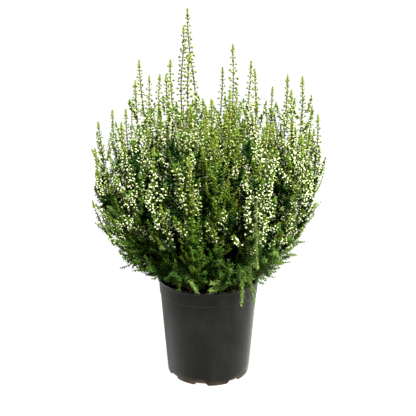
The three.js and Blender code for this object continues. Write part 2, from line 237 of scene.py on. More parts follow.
for arch in range(ARCHES):
    bearing = FIRST_ARCH + arch * 2 * math.pi / ARCHES
    middle = Vector((math.cos(bearing), math.sin(bearing), 0)) * DRAIN_RING * MM
    drained = [face for face in pot.faces if cut_for_drain(face, middle)]
    bmesh.ops.delete(pot, geom=drained, context="FACES")
    rims = [edge for edge in pot.edges if edge.is_boundary]
    for vert in {vert for edge in rims for vert in edge.verts}:
        outward = (vert.co.xy - middle.xy).normalized() * DRAIN_RADIUS * MM
        vert.co.xy = middle.xy + outward
    bmesh.ops.bridge_loops(pot, edges=rims)
bmesh.ops.recalc_face_normals(pot, faces=pot.faces)
nursery_pot = piece_of(pot, "nursery_pot", moulded.material, sharp_over=50)
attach(nursery_pot, "root")
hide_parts("pot")


# Soil: dark peat compost, pressed into the pot and settled to 7 mm below its rim. Its top is
# crumbly, with lumps of peat, chips of bark and a few grains of pale grit.
SOIL_TOP = 0.118
SOIL_RADIUS = 0.0619
SOIL_SIDE = [(0, 0.0069), (0.0521, 0.0069), (0.0612, 0.113)]
SOIL_SEGMENTS, SOIL_RINGS = 120, 30
SETTLED, SETTLED_AT_WALL, LUMP_HEIGHT = 0.0012, 0.0018, 0.001
CRUMBS, CHIPS, GRAINS = 900, 90, 46
SUNK_SHARE = 0.25

peat = Finish("peat", {"Roughness": 0.95, "Specular IOR Level": 0.25})
moist = peat.noise(120, 4, 0.6)
crumb = peat.noise(900, 3, 0.65)
earth = moist.ramp((0.3, (0.009, 0.005, 0.003)), (0.55, (0.024, 0.013, 0.007)),
                   (0.75, (0.05, 0.028, 0.015)))
peat.set("Base Color", peat.mix(crumb.between(0.5, 0.8) * 0.6, earth, (0.085, 0.052, 0.030)))
peat.bump(crumb + 0.5 * peat.noise(2400, 2), 0.0008)
bark = Finish("bark_chip", {"Roughness": 0.85, "Specular IOR Level": 0.3})
grain = bark.noise(1500, 4, 0.6)
bark.set("Base Color", grain.ramp((0.3, (0.05, 0.024, 0.012)), (0.6, (0.16, 0.085, 0.042)),
                                  (0.8, (0.30, 0.19, 0.10))))
bark.bump(grain, 0.0004)
grit = Finish("pale_grit", {"Roughness": 0.8})
grit.set("Base Color", grit.noise(1200, 2).ramp((0.3, (0.30, 0.27, 0.22)), (0.7, (0.62, 0.58, 0.50))))

rings = [(ring / SOIL_RINGS * SOIL_RADIUS, SOIL_TOP) for ring in range(SOIL_RINGS + 1)]
soil = turned([*SOIL_SIDE, *reversed(rings)], SOIL_SEGMENTS)


def settled(x, y):
    """Height of the soil's top at a place."""
    lumps = noise.noise(Vector((x, y, 0)) * 90) * 1.1 + noise.noise(Vector((x, y, 1)) * 320) * 0.6
    edge = (math.hypot(x, y) / SOIL_RADIUS) ** 8
    return SOIL_TOP - SETTLED - SETTLED_AT_WALL * edge + LUMP_HEIGHT * lumps


for vert in soil.verts:
    if vert.co.z > SOIL_TOP - 1e-6:
        vert.co.z = settled(vert.co.x, vert.co.y)


def strewn(bm, count, seed, sizes, stretch, material):
    """Small lumps of many sizes dropped at random on the soil, each turned its own way."""
    draw = np.random.default_rng(seed)
    for _ in range(count):
        radius, bearing = SOIL_RADIUS * 0.97 * math.sqrt(draw.random()), draw.random() * 2 * math.pi
        x, y = radius * math.cos(bearing), radius * math.sin(bearing)
        size = sizes[0] + (sizes[1] - sizes[0]) * draw.random() ** 2
        turn = Matrix.Rotation(draw.random() * 2 * math.pi, 4, "Z")
        turn = turn @ Matrix.Rotation(draw.normal(0, 0.35), 4, "X")
        shape = Matrix.Diagonal((size * stretch[0], size * stretch[1], size * stretch[2], 1))
        place = Matrix.Translation((x, y, settled(x, y) + size * (0.5 - SUNK_SHARE) * stretch[2]))
        made = bmesh.ops.create_icosphere(bm, subdivisions=1, radius=0.5, matrix=place @ turn @ shape)
        for vert in made["verts"]:
            vert.co += (Vector((x, y, vert.co.z)) - vert.co) * draw.normal(0, 0.16)
        for face in {face for vert in made["verts"] for face in vert.link_faces}:
            face.material_index = material


strewn(soil, CRUMBS, 1, (0.0011, 0.0042), (1, 0.8, 0.7), 0)
strewn(soil, CHIPS, 2, (0.002, 0.0045), (1.9, 0.8, 0.4), 1)
strewn(soil, GRAINS, 3, (0.0009, 0.0020), (1, 0.9, 0.8), 2)
peat_plug = piece_of(soil, "peat_plug", peat.material, sharp_over=30)
peat_plug.data.materials.append(bark.material)
peat_plug.data.materials.append(grit.material)
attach(peat_plug, "root")
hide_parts("soil")


# Budded stems: thin red-brown twigs that rise from the peat like a fountain. Each has needles low
# down, then short budded twigs, then a long spike of small cream buds on stalks, in pairs that
# turn a quarter from one to the next, and a tight tip of green scale leaves.
STEMS, SHOOTS = 46, 12
GOLDEN_TURN = math.pi * (3 - math.sqrt(5))
FIRST_BEARING, FIRST_FROM_MIDDLE = 1.9, 0.6
ROOT_DEPTH = 0.012
FOOT_RADIUS, CROWN_RADIUS, CROWN_RISE = 0.052, 0.154, 0.140
UPRIGHT_START = 0.006
MASS_TOP, MASS_EDGE_DROP, TIP_SPREAD = 0.352, 0.046, 0.034
LEAN_LENGTH = 0.170
SWAY, SWAY_STEP, STRAIGHT_LENGTH = 0.0011, 0.0155, 0.06
TIP_LENGTH = 0.009
TALL = 0.41
OUTER_FROM, LEFT_TO, RIGHT_FROM = 0.6, -0.4, 0.4
STEM_WOOD, SIDE_WOOD, TWIG_WOOD = (0.0010, 0.0006), (0.0008, 0.0005), (0.0005, 0.0003)
BUD_PITCH, LEAF_PITCH, TIP_PITCH = 0.0040, 0.0026, 0.0013

# Tips of the stems that stand out of the mass, in mm. The other stems end inside it.
LEADERS = [
    (-24, -23, 450), (-31, 12, 436), (-83, -2, 395), (-81, 76, 383), (-63, 42, 382),
    (-46, -62, 375), (-43, -29, 393), (-20, -92, 393), (3, -112, 347), (18, 47, 391),
    (30, 13, 415), (22, -81, 357), (38, 78, 367), (54, 46, 399), (52, -47, 381),
    (83, 51, 367), (90, -33, 376), (90, -64, 358), (114, -2, 376), (134, 40, 342),
    (127, -30, 331), (-83, -33, 370), (-104, 19, 338), (-127, 49, 337), (-95, -70, 323),
    (-131, -18, 323), (-126, -63, 294), (-137, 8, 252), (64, -115, 323), (-7, 74, 352),
    (-22, 131, 316)]

# A plant's map has one band across for wood, flat leaves, needles and buds each. A face's age
# lies along its band, and its place from root to tip runs upwards; on wood, upwards holds instead
# a painted shade round each limb.
BARK, LEAF, SPRAY, BUD = (0.0, 0.24), (0.25, 0.49), (0.5, 0.74), (0.75, 1.0)
HALF_GAP = 0.005

plant = Finish("heather", {
    "Roughness": 0.7, "Specular IOR Level": 0.05, "Specular Tint": (0.5, 1.0, 0.25, 1)})
uv = plant.node("ShaderNodeUVMap", {"uv_map": "OFBake"})
kind = plant.node("ShaderNodeSeparateXYZ", {}, uv, output=0)
along = plant.node("ShaderNodeSeparateXYZ", {}, uv, output=1)


def age_in(band):
    """How far along its band a face lies, from 0 to 1."""
    low, high = band
    return (kind - low) / (high - low)


wood = age_in(BARK).ramp(
    (0.0, (0.018, 0.013, 0.005)), (0.30, (0.060, 0.040, 0.013)), (0.6, (0.14, 0.064, 0.022)),
    (0.84, (0.18, 0.12, 0.025)), (1.0, (0.22, 0.30, 0.035)))
# Painted shade: the wood is darkened on one side of each limb, by the round shade.
wood = plant.mix(along * 0.5, wood, (0.018, 0.011, 0.004))
leaf = age_in(LEAF).ramp(
    (0.0, (0.0018, 0.0085, 0.0006)), (0.25, (0.008, 0.043, 0.004)), (0.5, (0.038, 0.130, 0.008)),
    (0.72, (0.115, 0.250, 0.014)), (0.86, (0.200, 0.310, 0.030)), (1.0, (0.26, 0.28, 0.05)))
pale_point = along.between(0.3, 1.0) * age_in(LEAF).between(0.1, 0.6)
leaf = plant.mix(pale_point * 0.28, leaf, (0.42, 0.48, 0.11))
needle = age_in(SPRAY).ramp(
    (0.0, (0.0016, 0.0065, 0.0006)), (0.25, (0.009, 0.040, 0.006)), (0.5, (0.044, 0.125, 0.018)),
    (0.75, (0.150, 0.270, 0.045)), (1.0, (0.30, 0.42, 0.11)))
pale_point = along.between(0.4, 1.0) * age_in(SPRAY).between(0.1, 0.6)
needle = plant.mix(pale_point * 0.35, needle, (0.40, 0.50, 0.17))
green_bud = along.ramp(
    (0.0, (0.12, 0.15, 0.012)), (0.4, (0.06, 0.10, 0.006)), (0.6, (0.16, 0.21, 0.02)),
    (1.0, (0.38, 0.42, 0.10)))
cream_bud = along.ramp(
    (0.0, (0.07, 0.12, 0.007)), (0.38, (0.08, 0.16, 0.008)), (0.5, (0.43, 0.53, 0.13)),
    (0.63, (0.88, 0.92, 0.56)), (1.0, (0.95, 0.98, 0.78)))
bud = plant.mix(age_in(BUD).between(0.0, 1.0), green_bud, cream_bud)
green = plant.mix(kind > SPRAY[0] - HALF_GAP, leaf, needle)
wood_or_green = plant.mix(kind > LEAF[0] - HALF_GAP, wood, green)
plant.set("Base Color", plant.mix(kind > BUD[0] - HALF_GAP, wood_or_green, bud))


def as_arrays(bm, along):
    """A small shape's points and faces, and each point's place across and along it."""
    bmesh.ops.triangulate(bm, faces=bm.faces)
    points = np.array([vert.co for vert in bm.verts])
    faces = np.array([[vert.index for vert in face.verts] for face in bm.faces])
    bm.free()
    return points, faces, points[:, 0] / np.abs(points[:, 0]).max(), along(points)


def small_bud(profile):
    """A four-sided bud on its stalk, turned from (radius, height, place along it) points."""
    bm = turned([(radius * MM, height * MM) for radius, height, _ in profile], 4, 0.2)
    heights, places = [height * MM for _, height, _ in profile], [place for _, _, place in profile]
    return as_arrays(bm, lambda points: np.interp(points[:, 2], heights, places))


def small_leaf(half_width, length, thick=1.0):
    """A three-sided leaf that narrows from its root to its point, in mm."""
    bm = bmesh.new()
    bmesh.ops.create_cone(bm, cap_ends=True, segments=3, radius1=half_width * MM, radius2=0,
                          depth=length * MM, matrix=Matrix.Translation((0, 0, length / 2 * MM)))
    bmesh.ops.remove_doubles(bm, verts=bm.verts, dist=SAME_PLACE)
    bmesh.ops.rotate(bm, verts=bm.verts, matrix=Matrix.Rotation(0.3, 3, "Z"))
    bmesh.ops.scale(bm, vec=(1, thick, 1), verts=bm.verts)
    return as_arrays(bm, lambda points: points[:, 2] / (length * MM))


STALKED_BUD = small_bud([(0, 0, 0), (0.36, 3.2, 0.36), (1.7, 4.5, 0.55), (1.4, 6.0, 0.8), (0, 6.9, 1)])
TWIG_BUD = small_bud([(0, 0, 0), (0.98, 2.3, 0.50), (0, 4.2, 1)])
SCALE_LEAF = small_leaf(0.74, 3.0)
YOUNG_LEAF = small_leaf(0.64, 3.5, 0.7)
NEEDLE = small_leaf(0.80, 5.4, 0.7)


def unit(vectors):
    return vectors / np.linalg.norm(vectors, axis=-1, keepdims=True)


def cross_axes(line, across):
    """At each point of a line, its run and two directions square to the run."""
    run = unit(np.gradient(line, axis=0))
    side = unit(across - (run @ across)[:, None] * run)
    return run, side, np.cross(run, side)


CLOSED_END = 0.00005
# Painted shade round a limb: how much each of its four sides is darkened.
ROUND_SHADE = [0.1, 0.4, 0.9, 0.6]


class Growth:
    """One stem or shoot, gathered from wood and from copies of leaves and buds."""

    def __init__(self, seed):
        self.draw = np.random.default_rng(seed)
        self.points, self.faces, self.places, self.count = [], [], [], 0
        self.limbs = []

    def gather(self, points, faces, band, age, across, along):
        """Adds faces. Their ages are kept a little inside the band, and across widens them in it."""
        low, high = band
        age = np.clip(age, 0, 1) * 0.94 + 0.03
        place = np.stack([low + (high - low) * (age + 0.012 * across), along], -1)
        self.points.append(points.reshape(-1, 3))
        self.faces.append(faces.reshape(-1, 3) + self.count)
        self.places.append(place.reshape(-1, 2))
        self.count += len(self.points[-1])

    def set_round(self, shape, band, line, across, each, turn, lift, size, age, stray=0.2,
                  mixed=0.12):
        """Copies of a shape round a line, so many at each point, lifted from square to the line.
        stray is how unevenly they stand, and mixed how far their ages differ."""
        points, faces, over, along = shape
        many = (len(line), each)
        angles = turn * np.arange(many[0])[:, None] + np.arange(each) * 2 * math.pi / each
        angles = angles + self.draw.normal(0, stray, many)
        lift = np.reshape(lift, (-1, 1)) + self.draw.normal(0, stray, many)
        size = np.reshape(size, (-1, 1)) * self.draw.uniform(0.84, 1.16, many)
        age = np.reshape(age, (-1, 1)) + self.draw.normal(0, mixed, many)
        run, side, front = (axis[:, None] for axis in cross_axes(line, across))
        out = np.cos(angles)[..., None] * side + np.sin(angles)[..., None] * front
        grown = np.cos(lift)[..., None] * out + np.sin(lift)[..., None] * run
        wide = unit(np.cross(run, out))
        axes = np.stack([wide, np.cross(grown, wide), grown], -1).reshape(-1, 3, 3)
        spots = np.repeat(line, each, 0) + self.draw.normal(0, 0.00025, (many[0] * each, 3))
        placed = np.einsum("cij,pj->cpi", axes * size.reshape(-1, 1, 1), points) + spots[:, None]
        starts = np.arange(len(placed))[:, None, None] * len(points)
        self.gather(placed, faces + starts, band, age.reshape(-1, 1), over + 0 * placed[..., 0],
                    along + 0 * placed[..., 0])

    def limb(self, line, wood, young, old=0.0):
        """Wood from root to tip, with its radius and how young its bark is at both ends."""
        share = np.linspace(0, 1, len(line))
        thick, thin = wood
        radii = thick + (thin - thick) * share
        radii[[0, -1]] = CLOSED_END
        self.limbs.append((line, radii, old + (young - old) * share))

    def add_wood(self):
        """Bevels all the limbs as one curve, and paints a shade on each of them from side to side."""
        curve = bpy.data.curves.new("limbs", "CURVE")
        curve.dimensions, curve.bevel_depth, curve.bevel_resolution = "3D", 1.0, 0
        for line, radii, _ in self.limbs:
            spline = curve.splines.new("POLY")
            spline.points.add(len(line) - 1)
            spline.points.foreach_set("co", np.column_stack([line, np.ones(len(line))]).ravel())
            spline.points.foreach_set("radius", radii)
        limbs = bpy.data.objects.new("limbs", curve)
        mesh = bpy.data.meshes.new_from_object(limbs)
        points, quads = np.empty(len(mesh.vertices) * 3), np.empty(len(mesh.polygons) * 4, int)
        mesh.vertices.foreach_get("co", points)
        mesh.polygons.foreach_get("vertices", quads)
        quads = quads.reshape(-1, 4)
        faces = np.concatenate([quads[:, :3], quads[:, [0, 2, 3]]])
        ages = np.repeat(np.concatenate([ages for _, _, ages in self.limbs]), 4)
        shade = np.tile(ROUND_SHADE, len(ages) // 4)
        self.gather(points, faces, BARK, ages, 0, shade)
        bpy.data.meshes.remove(mesh)
        bpy.data.objects.remove(limbs)
        bpy.data.curves.remove(curve)

    def piece(self, name, node, slot):
        """Makes it all one mesh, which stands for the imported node."""
        self.add_wood()
        points, faces = np.concatenate(self.points), np.concatenate(self.faces)
        places = np.concatenate(self.places)[faces.ravel()]
        mesh = bpy.data.meshes.new(name)
        mesh.vertices.add(len(points))
        mesh.vertices.foreach_set("co", points.ravel())
        mesh.loops.add(faces.size)
        mesh.loops.foreach_set("vertex_index", faces.ravel())
        mesh.polygons.add(len(faces))
        mesh.polygons.foreach_set("loop_start", np.arange(0, faces.size, 3))
        mesh.uv_layers.new(name="OFBake").data.foreach_set("uv", places.ravel())
        mesh.update(calc_edges=True)
        mesh.shade_smooth()
        mesh.materials.append(plant.material)
        piece = bpy.data.objects.new(name, mesh)
        bpy.context.scene.collection.objects.link(piece)
        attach(piece, "root")
        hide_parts(node)


EVEN_STEPS = (0.754877666, 0.569840291)


def varied(index, draw):
    """An even spread of numbers from 0 to 1, one for each stem and each thing drawn for it."""
    return ((index + 1) * EVEN_STEPS[0] + draw * EVEN_STEPS[1]) % 1


def fountain(height):
    """Radius of the whole plant at a height: upright at the soil, then out to the crown."""
    above = np.maximum(0, height - SOIL_TOP)
    up = np.minimum(1, above / CROWN_RISE)
    wider = up * (2 - up)
    return FOOT_RADIUS + (CROWN_RADIUS - FOOT_RADIUS) * wider * (1 - np.exp(-above / UPRIGHT_START))


class Place:
    """Where a stem or shoot grows: its bearing, and its share of the plant's radius. The places
    are spaced as the seeds in a flower head, each a golden turn on from the last."""

    def __init__(self, number):
        self.number = number
        self.share = math.sqrt((number + FIRST_FROM_MIDDLE) / (STEMS + SHOOTS))
        self.bearing = number * GOLDEN_TURN + FIRST_BEARING
        self.x, self.y = self.share * math.cos(self.bearing), self.share * math.sin(self.bearing)
        self.across = np.array([-math.sin(self.bearing), math.cos(self.bearing), 0])
        self.top = MASS_TOP - MASS_EDGE_DROP * self.share**2 - TIP_SPREAD * varied(number, 1)
        self.lean, self.leads = (0.0, 0.0), False

    def line(self, height):
        """Centre line of the stem at some heights, eased over its last stretch to the tip."""
        reach = eased(1 - (self.top - height) / LEAN_LENGTH)
        radius = fountain(height)
        sway = SWAY * np.sin(height / SWAY_STEP + 3 * self.number)
        sway *= np.clip((height - SOIL_TOP) / STRAIGHT_LENGTH, 0, 1)
        x = self.x * radius + self.lean[0] * reach + sway * math.cos(self.number)
        y = self.y * radius + self.lean[1] * reach + sway * math.sin(self.number)
        return np.stack([x, y, height], -1)


places = [Place(number) for number in range(STEMS + SHOOTS)]
stems = places[:STEMS]
for tip in LEADERS:
    x, y, z = (mm * MM for mm in tip)
    radius = float(fountain(z))
    nearest = min((stem for stem in stems if not stem.leads),
                  key=lambda stem: math.hypot(stem.x * radius - x, stem.y * radius - y))
    nearest.top, nearest.leads = z, True
    nearest.lean = (x - nearest.x * radius, y - nearest.y * radius)


FORKS_FROM, FORK_BAND, LEAST_BETWEEN_FORKS = 0.160, 0.008, 0.00575
SIDE_DROP, SIDE_DROP_SPREAD, SIDE_TOP_SPREAD = 0.034, 0.024, 0.044
SIDE_LENGTH, SIDE_LENGTH_SPREAD = 0.096, 0.034
SECOND_START, SECOND_END = 0.014, 0.012
SIDE_BEND, SIDE_AWAY = 0.034, 0.0125


def sides_of(stem):
    """The side stems: the heights of foot and tip, and the direction in which each stands off.
    Every fourth stem has two, and the second starts clear of the first."""
    n = stem.number
    forks = []
    for side in range(1 if n % 4 else 2):
        drop = SIDE_DROP + SIDE_DROP_SPREAD * varied(n, 3 + side)
        end = min(stem.top - drop, MASS_TOP - SIDE_TOP_SPREAD * varied(n, 5))
        start = max(FORKS_FROM, end - SIDE_LENGTH - SIDE_LENGTH_SPREAD * varied(n, 7 + side))
        forks.append([start + SECOND_START * side, end - SECOND_END * side])
    forks.sort()
    if len(forks) == 2 and forks[1][0] - forks[0][0] - FORK_BAND <= LEAST_BETWEEN_FORKS:
        forks[1][0] = forks[0][0] + FORK_BAND
    for side, (start, end) in enumerate(forks):
        foot = start + FORK_BAND / 2
        run, u, v = cross_axes(stem.line(foot + np.array([-0.001, 0, 0.001])), stem.across)
        angle = 2 * math.pi / 3 * varied(n, 9) + (n + 3 * side) * math.pi / 3
        yield foot, end, u[1] * math.cos(angle) + v[1] * math.sin(angle)


def side_line(stem, foot, out, height):
    """Centre line of a side stem, which bends away from its stem and then runs beside it."""
    away = np.clip((height - foot) / SIDE_BEND, 0, 1)
    return stem.line(height) + out * (SIDE_AWAY * away * (2 - away))[:, None]


def points_along(start, end, pitch):
    return np.linspace(start, end, max(2, round((end - start) / pitch) + 1))


def bud_spike(growth, line_at, across, start, end, ripe, full=1.0):
    """A stretch of stem with pairs of stalked buds, smaller and greener towards its tip."""
    heights = points_along(start, end, BUD_PITCH)
    below_tip = np.clip((end - heights) / 0.05, 0, 1)
    size = full * np.interp(end - heights, [0, 0.03, 0.07, 0.12], [0.56, 1.0, 0.85, 0.62])
    size *= np.interp(heights, [0.23, 0.30, 0.35], [0.6 if end > 0.3 else 0.8, 0.84, 1.0])
    growth.set_round(STALKED_BUD, BUD, line_at(heights), across, 2, math.pi / 2 + 0.06,
                     0.75 - 0.5 * below_tip, size, ripe * below_tip, 0.2)
    growth.set_round(SCALE_LEAF, LEAF, line_at(heights), across, 3, 1.2, 0.62, full * 1.05,
                     0.50 + 0.26 * (1 - below_tip))


def leafy_tip(growth, line_at, across, start, end, fresh, full=1.0):
    """A tight tip of scale leaves, which narrows to a point."""
    heights = points_along(start, end - 0.0015, TIP_PITCH)
    share = np.linspace(0, 1, len(heights))
    growth.set_round(SCALE_LEAF, LEAF, line_at(heights), across, 4, 0.8, 0.45 + 0.75 * share,
                     full * (1.30 - 0.35 * share), fresh - 0.08 * share, 0.3)


def twig(growth, root, run, out, length, spread, kind, age, full=1.0):
    """A short side twig that starts outwards and bends up. It is budded or leafy, old with a few
    long near-black needles, which are old growth and partly painted shade for the inside of the plant,
    or has fresh needles: one of kind "needles" stays nearly straight, and a "young" one bends up. full
    scales its leaves."""
    bend = 0.25 if kind == "needles" else 1.0

    def line_at(share):
        share = np.asarray(share)[:, None]
        away = spread * share * (1 + bend - bend * share)
        return root + out * away + run * (length * share * (1 - 0.7 * bend * (1 - share)))

    across = np.cross(run, out)
    bark_at_root = 0.5 if kind == "budded" else 0.85
    growth.limb(line_at(np.linspace(0, 1, 5)), TWIG_WOOD, 0.95, bark_at_root)
    whole = length + 0.6 * spread
    if kind == "budded":
        buds = np.linspace(0.22, 0.86, max(3, round(whole * 0.64 / 0.0017)))
        growth.set_round(TWIG_BUD, BUD, line_at(buds), across, 2, math.pi / 2 + 0.1, 0.35, 1.02,
                         age, 0.42, 0.24)
        growth.set_round(SCALE_LEAF, LEAF, line_at(buds[::2]), across, 3, 1.0, 0.5, 1.1,
                         0.29 + 0.3 * buds[::2])
        tip = np.linspace(0.86, 0.99, 4)
        growth.set_round(SCALE_LEAF, LEAF, line_at(tip), across, 3, 1.0,
                         0.7 + 0.4 * (tip > 0.93), 1.1, 0.66)
    elif kind == "leafy":
        steps = np.linspace(0.10, 0.98, max(4, round(whole / 0.0026)))
        growth.set_round(YOUNG_LEAF, LEAF, line_at(steps), across, 4, 0.8, 0.35 + 0.6 * steps**3,
                         full * (1.1 - 0.3 * steps), age + 0.2 * steps, 0.3)
    elif kind == "old":
        steps = np.linspace(0.1, 0.98, 6)
        growth.set_round(NEEDLE, SPRAY, line_at(steps), across, 4, 0.8, 0.5, 2.1, age, 0.5)
    else:
        steps = np.linspace(0.06, 0.98, max(4, round(whole / 0.0023)))
        growth.set_round(NEEDLE, SPRAY, line_at(steps), across, 4, 0.8, 0.42 + 0.6 * steps**3,
                         full * (0.92 - 0.3 * steps**2), age + 0.3 * steps**2, 0.2)


# The plant's room: how low the twigs' tips may hang, from left to right, and how far out they
# may reach, to the sides at each height and to the front and back.
LOWEST = ([-0.07, -0.03, 0.0, 0.02], [0.131, 0.137, 0.137, 0.128])
WIDEST = ([0.17, 0.22, 0.24], [0.112, 0.130, 0.138])
DEEPEST = 0.138


def twigs_along(growth, line_at, across, start, end, pitch, kind_at, size_at, age_at, full=1.0,
                inward=False):
    """Twigs up a stem, each a golden turn on from the last, kept inside the plant's room. With
    inward, none points out of the plant."""
    heights = points_along(start, end, pitch)
    run, u, v = cross_axes(line_at(heights), across)
    first = growth.draw.random() * 2 * math.pi
    for number, height in enumerate(heights):
        angle = first + number * GOLDEN_TURN + growth.draw.normal(0, 0.25)
        root = line_at(heights[number:number + 1])[0]
        out = u[number] * math.cos(angle) + v[number] * math.sin(angle)
        kind = kind_at(height)
        upright = np.array([0, 0, 0.15 if kind == "needles" else 0.4])
        wild = growth.draw.normal(0, 0.24 if height < 0.28 else 0.12, 3)
        up = unit(run[number] + upright + wild)
        outside = np.linalg.norm(root[:2]) / fountain(height)
        outward = outside**3 * unit(root[:2]) @ out[:2]
        if inward and outward > 0.1:
            out, outward = -out, 0
        length, spread = (size * growth.draw.uniform(0.7, 1.25) for size in size_at(kind, height))
        spread *= 1 - (0.3 if kind == "needles" else 0.6) * max(0, outward)
        tip = root + spread * out + length * up
        sunk = np.interp(root[0], *LOWEST) - tip[2]
        if sunk > 0:
            out = unit(out + np.array([0, 0, sunk / spread]))
        tip = root + spread * out + length * up
        beyond = max(abs(tip[0]) - np.interp(tip[2], *WIDEST), abs(tip[1]) - DEEPEST)
        if beyond > 0:
            spread *= max(0.4, 1 - beyond / spread)
        twig(growth, root, up, out, length, spread, kind, age_at(kind, height), full)


# Stems by number: those whose twigs are green and leafy, and those whose buds are ripest. Then
# the twigs that are placed one by one, most of them at the foot and on the low outline: height
# of the root, tip, kind, size of the leaves and how fresh they are.
YOUNG_STEMS = (17, 30, 43)
RIPE_STEMS = (11, 12, 14, 16, 19, 25, 27, 33, 35, 36, 38)
PLACED_TWIGS = {
    19: [
        (0.225, (-0.078, -0.056, 0.262), "leafy", 1.5, 0.56),
        (0.240, (-0.090, -0.054, 0.276), "leafy", 1.5, 0.5),
        (0.256, (-0.084, -0.052, 0.292), "leafy", 1.4, 0.56),
        (0.246, (-0.070, -0.048, 0.284), "leafy", 1.4, 0.5)],
    33: [
        (0.150, (0.0482, -0.129, 0.252), "young", 0.66, 1.0),
        (0.162, (0.097, -0.050, 0.174), "needles", 1.3, 0.44),
        (0.150, (0.089, -0.044, 0.157), "needles", 1.3, 0.5),
        (0.140, (0.077, -0.039, 0.143), "needles", 1.2, 0.54)],
    35: [
        (0.172, (-0.013, -0.098, 0.139), "needles", 1.6, 0.66),
        (0.165, (-0.020, -0.090, 0.150), "needles", 1.5, 0.58)],
    38: [
        (0.165, (0.037, -0.088, 0.119), "young", 1.4, 0.64),
        (0.164, (0.038, -0.086, 0.123), "young", 1.5, 0.6),
        (0.166, (0.037, -0.084, 0.136), "young", 1.6, 0.56),
        (0.140, (0.003, -0.100, 0.150), "needles", 1.4, 0.62),
        (0.131, (0.001, -0.100, 0.142), "needles", 1.4, 0.64)],
    40: [
        (0.165, (-0.105, -0.049, 0.171), "leafy", 1.7, 0.5),
        (0.160, (-0.100, -0.047, 0.166), "leafy", 1.5, 0.5),
        (0.150, (-0.088, -0.041, 0.158), "leafy", 1.5, 0.5),
        (0.148, (-0.090, -0.042, 0.154), "leafy", 1.6, 0.5),
        (0.144, (-0.080, -0.037, 0.149), "leafy", 1.5, 0.5),
        (0.142, (-0.083, -0.038, 0.146), "leafy", 1.6, 0.5),
        (0.138, (-0.072, -0.033, 0.141), "leafy", 1.5, 0.5)],
    41: [
        (0.176, (0.115, -0.027, 0.195), "needles", 1.3, 0.44),
        (0.168, (0.112, -0.026, 0.186), "needles", 1.3, 0.5),
        (0.162, (0.110, -0.025, 0.176), "needles", 1.4, 0.44),
        (0.152, (0.106, -0.023, 0.161), "needles", 1.4, 0.5),
        (0.147, (0.100, -0.022, 0.157), "needles", 1.3, 0.6),
        (0.146, (0.101, -0.021, 0.150), "needles", 1.4, 0.44),
        (0.140, (0.092, -0.020, 0.148), "needles", 1.3, 0.6),
        (0.137, (0.088, -0.018, 0.141), "needles", 1.4, 0.54),
        (0.133, (0.084, -0.018, 0.136), "needles", 1.3, 0.6),
        (0.131, (0.083, -0.017, 0.129), "needles", 1.2, 0.5)],
    45: [
        (0.170, (-0.124, 0.003, 0.172), "leafy", 1.7, 0.5),
        (0.160, (-0.117, 0.003, 0.166), "leafy", 1.5, 0.5),
        (0.158, (-0.114, 0.002, 0.157), "leafy", 1.6, 0.5),
        (0.150, (-0.107, 0.002, 0.152), "leafy", 1.5, 0.6),
        (0.148, (-0.104, 0.001, 0.143), "leafy", 1.6, 0.6),
        (0.145, (-0.098, 0.0, 0.136), "leafy", 1.5, 0.56),
        (0.142, (-0.096, 0.0, 0.143), "leafy", 1.5, 0.5),
        (0.138, (-0.088, 0.0, 0.136), "leafy", 1.5, 0.56)],
}


def placed_twig(growth, stem, height, tip, kind, full, fresh):
    """A twig from a height on its stem to a place that is given for its tip."""
    root = stem.line(np.array([height]))[0]
    reach, rise = np.array([*(tip - root)[:2], 0]), tip[2] - height
    twig(growth, root, np.array([0, 0, np.sign(rise)]), unit(reach), abs(rise),
         np.linalg.norm(reach), kind, fresh, full)


